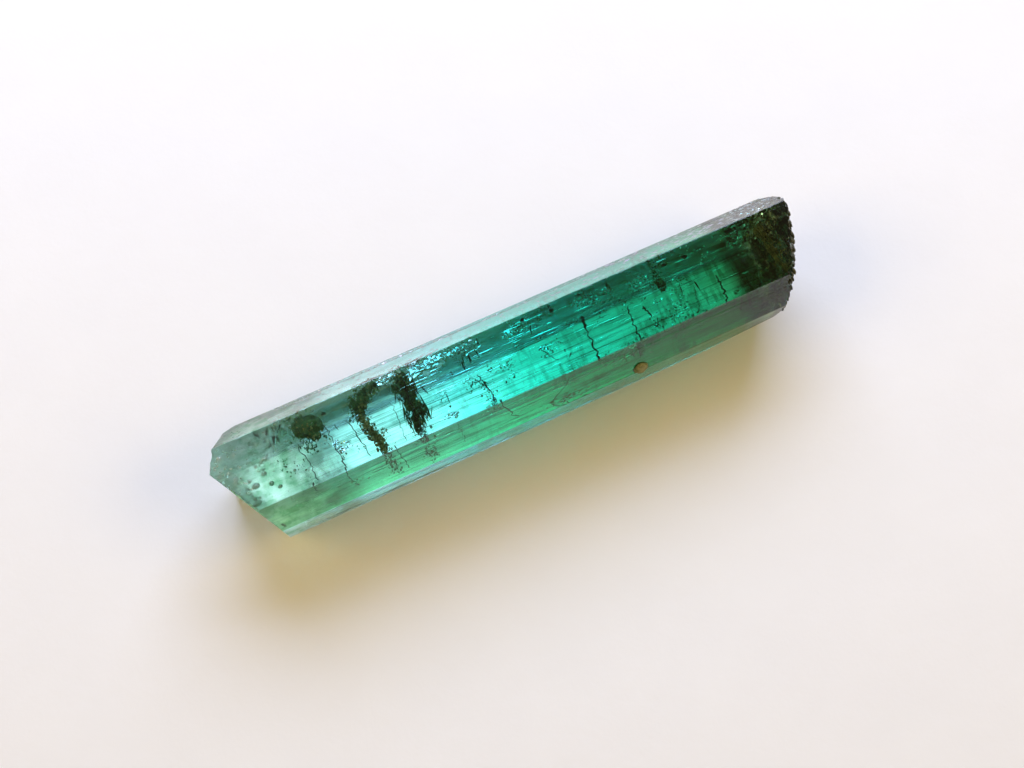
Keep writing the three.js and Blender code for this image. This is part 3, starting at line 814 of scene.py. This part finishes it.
# glinting veils: shattered films that lie almost flat
g = rng(171)
for u, v, ln, wd in [(232, 0.075, 1.30, 0.36), (243, 0.10, 1.10, 0.34), (226, 0.13, 0.90, 0.20), (249, 0.065, 0.7, 0.3), (203, 0.05, 0.9, 0.16), (198, 0.115, 0.8, 0.10), (331, 0.165, 0.7, 0.32),
                     (246, 0.90, 0.9, 0.22), (357, 0.55, 0.4, 0.3), (266, 0.10, 0.6, 0.16), (276, 0.07, 0.5, 0.14), (418, 0.17, 0.9, 0.18), (344, 0.08, 0.5, 0.14), (136, 0.72, 0.9, 0.5), (129, 0.62, 0.5, 0.4)]:
    for _ in range(16):
        nrm = unit([-0.035 + g.normal() * 0.10, 0.19 + g.normal() * 0.10, 1.0])
        film.plate(top_at(u + g.normal() * ln * 5, v + g.normal() * wd * 0.07, g.uniform(0.12, 0.40)), nrm, (1, 0.03, 0), ln * g.uniform(0.2, 0.6), wd * g.uniform(0.15, 0.6), g, 0.008, 9, 0.55)
for path, h, n, size, flat, sd in [([(222, 0.05), (252, 0.09)], 9, 46, 0.55, 0.12, 1), ([(196, 0.05), (212, 0.05)], 6, 20, 0.35, 0.15, 2), ([(196, 0.13), (208, 0.14)], 4, 10, 0.35, 0.15, 3),
                                   ([(262, 0.08), (296, 0.12)], 9, 44, 0.26, 0.30, 4), ([(326, 0.16), (336, 0.17)], 5, 14, 0.40, 0.15, 5), ([(336, 0.09), (352, 0.14)], 7, 26, 0.26, 0.30, 6),
                                   ([(398, 0.16), (440, 0.18)], 8, 56, 0.28, 0.30, 7), ([(462, 0.24), (482, 0.30)], 9, 40, 0.26, 0.30, 8), ([(462, 0.40), (505, 0.34)], 9, 30, 0.20, 0.35, 9),
                                   ([(470, 0.86), (520, 0.90)], 9, 50, 0.26, 0.25, 10), ([(572, 0.06), (590, 0.14), (576, 0.26)], 14, 130, 0.30, 0.35, 11), ([(600, 0.04), (612, 0.10)], 8, 30, 0.24, 0.3, 12),
                                   ([(356, 0.52), (372, 0.60)], 8, 26, 0.20, 0.35, 13), ([(240, 0.88), (252, 0.93)], 6, 14, 0.35, 0.15, 14), ([(210, 0.92), (220, 0.92)], 4, 10, 0.25, 0.2, 15),
                                   ([(392, 0.36), (398, 0.42)], 5, 14, 0.2, 0.3, 16), ([(434, 0.34), (462, 0.40)], 8, 34, 0.2, 0.35, 17), ([(520, 0.10), (545, 0.22)], 8, 26, 0.2, 0.3, 18),
                                   ([(118, 0.60), (140, 0.52)], 12, 9, 0.24, 0.2, 19), ([(96, 0.38), (88, 0.72)], 12, 10, 0.22, 0.2, 20), ([(300, 0.62), (330, 0.60)], 10, 20, 0.18, 0.3, 21)]:
    cloud(film, top_at, path, h, (0.10, 0.6), n, size, 300 + sd, flat, along=(1, 0.2, 0), thick=0.008)
for path, h, n, size, flat, sd in [([(404, 0.20), (446, 0.10), (436, 0.40)], 12, 100, 0.26, 0.30, 1), ([(278, 0.18), (290, 0.28)], 8, 20, 0.24, 0.25, 2), ([(352, 0.15), (356, 0.40)], 5, 14, 0.2, 0.25, 3),
                                   ([(118, 0.46), (150, 0.60)], 10, 14, 0.3, 0.2, 4)]:
    cloud(film, front_at, path, h, (0.10, 0.5), n, size, 340 + sd, flat, along=(1, 0.2, 0), thick=0.008)
# hair-fine growth tubes lying along the crystal, some bright and some dark; the dark ones are near-black rods of
# painted shade
g = rng(501)
for n, lo_v, hi_v, at, size in [(110, 0.26, 0.62, top_at, 1.0), (70, 0.60, 0.98, top_at, 0.7), (40, 0.06, 0.28, top_at, 0.6), (90, 0.10, 0.92, front_at, 0.8)]:
    for _ in range(n):
        u, w = g.uniform(226, 575), g.uniform(lo_v, hi_v)
        lean = TILT[at.__name__]
        nrm = unit([lean[0] + g.normal() * 0.05, lean[1] + g.normal() * 0.12, lean[2]])
        film.plate(at(u, w, g.uniform(0.08, 0.35)), nrm, (1, 0, 0), size * g.uniform(0.5, 3.2), g.uniform(0.014, 0.04), g, 0.006, 6, 0.3)
for n, lo_v, hi_v, at in [(70, 0.28, 0.46, top_at), (46, 0.46, 0.95, top_at), (60, 0.08, 0.90, front_at)]:
    for _ in range(n):
        u, w, ln = g.uniform(130, 560), g.uniform(lo_v, hi_v), g.uniform(12, 60)
        crack.rod(at(u, w, 0.10), at(u + ln, w + g.normal() * 0.002, 0.12), g.uniform(0.008, 0.020), g, 4, 5, 0.02)

# frosted patches on the rear bevel, partly real frosting and partly painted reflection: their bluish grey stands in for
# the bright surroundings the bevel reflects
frost_and_reflection = Bits()
cloud(frost_and_reflection, rear_at, [(440, 0.50), (540, 0.50), (622, 0.50)], 30, (0.03, 0.10), 190, 0.46, 511, 0.12, along=(1, 0, 0), thick=0.008, spread=1.0)
cloud(frost_and_reflection, rear_at, [(10, 0.50), (200, 0.50), (470, 0.50)], 30, (0.03, 0.10), 260, 0.34, 512, 0.12, along=(1, 0, 0), thick=0.008, spread=1.0)

# chips and glints along the rear bevel's far edge
for u0, u1, n, sd in [(60, 110, 14, 1), (100, 124, 26, 2), (182, 290, 60, 3), (316, 324, 6, 4), (384, 394, 5, 5), (458, 470, 10, 6), (575, 600, 10, 7), (124, 180, 12, 8)]:
    cloud(film, rear_at, [(u0, 0.80), (u1, 0.80)], 6, (0.06, 0.25), n, 0.34, 360 + sd, 0.25, along=(1, 0, 0), thick=0.008, spread=0.8)
cloud(film, rear_at, [(590, 0.35), (620, 0.20)], 8, (0.06, 0.25), 26, 0.28, 371, 0.3, along=(1, 0, 0), thick=0.008)
# a dark slit in the rear bevel: a near-black sheet of painted shade
crack.wall(jagged(rear_at, [(553, 0.50), (566, 0.42), (582, 0.46)], 0.05, 14, rng(161), 0.4), np.array([0.066, -0.407, -0.911]), 0.5, 0.13, rng(162))

# the milky tip: pale feathers, bubbles and dark specks
def scales(at, u0, u1, count, seed):
    g = rng(seed)
    face_n = {"top_at": (0.0, 0.0, 1.0), "front_at": (0.0, -S60, 0.5), "rear_at": (0.0, S60, 0.5)}[at.__name__]
    n = 0
    while n < count:
        u, w = u0 + (u1 - u0) * g.random() ** 1.6, g.uniform(0.03, 0.97)
        p = at(u, w, 0.0)
        ln = g.uniform(0.08, 0.26)
        if p[0] < float(left_end(np.array([p[1]]), np.array([p[2]]))[0]) + 0.45 * ln:
            n += 0.2
            continue
        if fbm(u / 14.0, w * 5.0, seed, 3) < -0.03 + 0.12 * (u - u0) / (u1 - u0):
            n += 0.05
            continue
        nrm = unit(np.array(face_n) + g.normal(0, 0.02, 3))
        milk.plate(p, nrm, (1, g.normal() * 0.8, g.normal() * 0.4), ln, ln * g.uniform(0.35, 0.9), g, thick=0.012, sides=int(g.integers(7, 11)), ragged=0.6)
        n += 1


scales(top_at, -2, 70, 60, 401)
scales(rear_at, -2, 60, 30, 405)
cloud(dark, top_at, [(30, 0.12), (60, 0.30), (70, 0.60), (80, 0.80)], 26, (0.3, 1.6), 20, 0.10, 404, 0.8, along=(1, 1, 0))
g = rng(411)
for _ in range(46):
    u = 4 + 92 * g.random() ** 0.8
    half = min(0.44, 0.10 + 0.0075 * u)
    v = 0.36 + g.uniform(-half, half)
    r = 0.05 + 0.13 * g.random() ** 3
    bead.blob(top_at(u, v, g.uniform(0.15, 0.8)), (r, r, r * 0.8), g, 0.06, 12, 8, int(g.integers(1, 99)))
for u, v, r in [(56, 0.42, 0.20), (52, 0.44, 0.13), (38, 0.72, 0.22), (34, 0.62, 0.10), (32, 0.88, 0.14), (33, 1.0, 0.24), (15, 0.16, 0.18), (22, 0.52, 0.16), (60, 0.86, 0.14), (12, 0.34, 0.10)]:
    bead.blob(top_at(u, min(v, 0.95), 0.30), (r * 1.1, r * 0.85, r * 0.8), g, 0.15, 16, 10, int(g.integers(1, 99)))
cloud(film, top_at, [(8, 0.36), (26, 0.72), (36, 0.95)], 7, (0.10, 0.5), 40, 0.24, 412, 0.5, along=(0.5, -1, 0), thick=0.008)

# the dark end: brown-black flakes and slanting tan threads before the break
cloud(dark, top_at, [(588, 0.36), (606, 0.46), (586, 0.62), (600, 0.80)], 17, (0.3, 3.4), 100, 0.30, 421, 0.5, along=(1, 0.1, 0))
cloud(dark, top_at, [(596, 0.10), (622, 0.06), (628, 0.30), (618, 0.55)], 12, (0.4, 2.6), 90, 0.30, 422, 0.5, along=(0.3, 1, 0))
cloud(dark, top_at, [(574, 0.84), (600, 0.90), (612, 0.90)], 10, (0.25, 2.2), 70, 0.36, 423, 0.4, along=(1, 0, 0))
cloud(dark, front_at, [(560, 0.20), (596, 0.40), (580, 0.80)], 16, (0.5, 2.5), 60, 0.30, 424, 0.5, along=(1, 0.1, 0))
g = rng(431)
for _ in range(60):
    a = g.uniform(0.0, 0.75)
    u = 598 + 14 * a + g.normal() * 2.2
    olive.rod(top_at(u, a + 0.05, g.uniform(0.12, 0.25)), top_at(u + 4 + g.normal(), a + 0.22, g.uniform(0.12, 0.3)), g.uniform(0.02, 0.045), g)

cloud(olive, top_at, [(590, 0.10), (612, 0.30), (604, 0.60), (620, 0.85)], 16, (0.06, 0.8), 300, 0.26, 425, 0.5, along=(0.4, 1, 0))
cloud(film, top_at, [(578, 0.10), (598, 0.20), (612, 0.12)], 12, (0.10, 0.5), 60, 0.20, 426, 0.35, along=(0.6, 1, 0), thick=0.008)

# a grain of tan matrix on the front edge, partly bedded in the face
g = rng(441)
grain = Bits()
c = front_at(438.5, 0.86, 0.12)
grain.blob(c, (0.52, 0.36, 0.46), g, 0.22, 30, 20, 41)
for _ in range(14):
    d = unit(g.normal(0, 1, 3))
    grain.blob(c + d * np.array([0.42, 0.26, 0.36]), (0.13, 0.11, 0.12), g, 0.3, 12, 8, int(g.integers(1, 99)))
cloud(olive, front_at, [(344, 0.80), (360, 0.74), (380, 0.78)], 9, (0.08, 0.25), 44, 0.30, 442, 0.3, along=(1, 0.1, 0), thick=0.01)

# dark lumpy crust on the break, bedded in its surface
g = rng(451)
crust = Bits()


def on_break(yy, zz, out):
    return np.array([float(right_end(np.array([yy]), np.array([zz]))[0]) + out, yy, zz])


def clear_of_sides(yy, zz):
    off = offsets(np.array([18.5]))[0]
    return min(off[k] - yy * d[0] - zz * d[1] for k, (_, d) in enumerate(SIDES))


placed = 0
while placed < 420:
    yy, zz = g.uniform(-4.2, 4.2), g.uniform(0, HEIGHT)
    room = clear_of_sides(yy, zz)
    if room < 0.10 or (room > 0.7 and g.random() < 0.35):
        continue
    r = min(g.uniform(0.12, 0.30), room + 0.02)
    crust.blob(on_break(yy, zz, -0.03), (r * 0.42, r, r * g.uniform(0.6, 1.0)), g, 0.45, 11, 8, int(g.integers(1, 999)))
    placed += 1

dark.piece("dark_inclusions", mineral("dark_inclusion", (0.012, 0.050, 0.022), (0.12, 0.28, 0.09), (2400, 2400, 2400), 0.5))
olive.piece("olive_inclusions", mineral("olive_inclusion", (0.12, 0.14, 0.04), (0.44, 0.40, 0.16), (2600, 2600, 2600), 0.6))
film.piece("fracture_films", mineral("fracture_film", (0.55, 0.78, 0.72), (0.96, 1.0, 0.98), (900, 2600, 2600), 0.17, 1.0))
# painted glint: pale flakes bright from every side, standing in for glinting films
pale.piece("painted_glint_flakes", mineral("painted_glint_flake", (0.50, 0.72, 0.62), (0.90, 1.0, 0.96), (2000, 2000, 2000), 0.5))
# partly frosting, partly painted reflection in the bluish grey
frost_and_reflection.piece("frost_and_reflection_patches", mineral("frost_and_reflection", (0.55, 0.62, 0.66), (0.80, 0.87, 0.92), (900, 3000, 3000), 0.45))
# painted shade: near-black stands in for the darkness seen in open cracks, ticks, dark growth tubes and the slit
crack.piece("open_cracks", mineral("crack_painted_shade", (0.004, 0.010, 0.006), (0.020, 0.040, 0.022), (900, 900, 900), 0.45))
milk.piece("chalky_skin", mineral("chalky_skin", (0.13, 0.23, 0.15), (0.40, 0.54, 0.43), (1500, 1500, 1500), 0.5), inside=False)
bead.piece("bubbles", mineral("bubble_skin", (0.70, 0.84, 0.76), (0.95, 1.0, 0.97), (1500, 1500, 1500), 0.20, 0.5), smooth=True)
crust.piece("break_crust", mineral("dark_crust", (0.020, 0.024, 0.010), (0.105, 0.105, 0.050), (1900, 1900, 1900), 0.7), inside=False, smooth=True)
grain.piece("matrix_grain", mineral("tan_matrix", (0.14, 0.15, 0.06), (0.36, 0.36, 0.17), (4200, 4200, 4200), 0.85), inside=False)

# ------------------------------------------------------------------ floor, light
def floor_mesh():
    prof = [(rr, 0.0) for rr in np.linspace(30, 310, 11)]
    prof += [(310 + 170 * math.sin(a), 170 * (1 - math.cos(a))) for a in np.linspace(0.08, math.pi / 2, 16)]
    prof += [(480.0, 230.0)]
    n = 96
    ang = np.arange(n) * 2 * math.pi / n
    verts = [(0, 0, 0)]
    for rr, zz in prof:
        verts += [(rr * math.cos(a), rr * math.sin(a), zz) for a in ang]
    verts = np.array(verts, float)
    verts[:, 2] -= 0.02
    quads, tris = [], []
    for k in range(len(prof) - 1):
        a = 1 + k * n + np.arange(n)
        b = 1 + k * n + (np.arange(n) + 1) % n
        quads.append(np.stack([a, a + n, b + n, b], -1))
    a = 1 + np.arange(n)
    b = 1 + (np.arange(n) + 1) % n
    tris.append(np.stack([np.zeros(n, int), a, b], -1))
    return verts, np.concatenate(quads), np.concatenate(tris)


fv, fq, ft = floor_mesh()
floor = new_mesh("paper_floor", fv, fq, ft)
floor.data.materials.append(paper_material())


def area(name, direction, dist, size, power, colour, target=(0, 0, 0)):
    li = bpy.data.lights.new(name, "AREA")
    li.shape = "RECTANGLE"
    li.size, li.size_y = size[0] * MM, size[1] * MM
    li.energy, li.color = power, colour
    ob = bpy.data.objects.new(name, li)
    bpy.context.scene.collection.objects.link(ob)
    ob.location = Vector(target) + Vector(direction).normalized() * dist * MM
    aim(ob, target)
    ob.visible_camera = False
    return ob


def direction(az_up, el):
    """A direction az_up degrees clockwise from the top of the picture and el above the paper."""
    up = math.atan2(0.8797, 0.399)
    a = up - math.radians(az_up)
    return (math.cos(a) * math.cos(math.radians(el)), math.sin(a) * math.cos(math.radians(el)), math.sin(math.radians(el)))


area("window", direction(-3, 38), 260, (280, 140), 0.95, (0.68, 0.815, 1.13))
area("room_right", direction(92, 40), 320, (200, 160), 0.36, (0.96, 0.69, 0.29))
area("room_left", direction(-96, 40), 320, (200, 160), 0.36, (0.96, 0.69, 0.29))
world = bpy.data.worlds.new("room")
bpy.context.scene.world = world
world.use_nodes = True
bg = world.node_tree.nodes["Background"]
bg.inputs["Color"].default_value = (0.96, 0.74, 0.32, 1)
bg.inputs["Strength"].default_value = 0.135

sc = bpy.context.scene
sc.view_settings.view_transform = "Standard"
sc.cycles.max_bounces = 24
sc.cycles.transmission_bounces = 24
sc.cycles.glossy_bounces = 12
sc.cycles.diffuse_bounces = 4
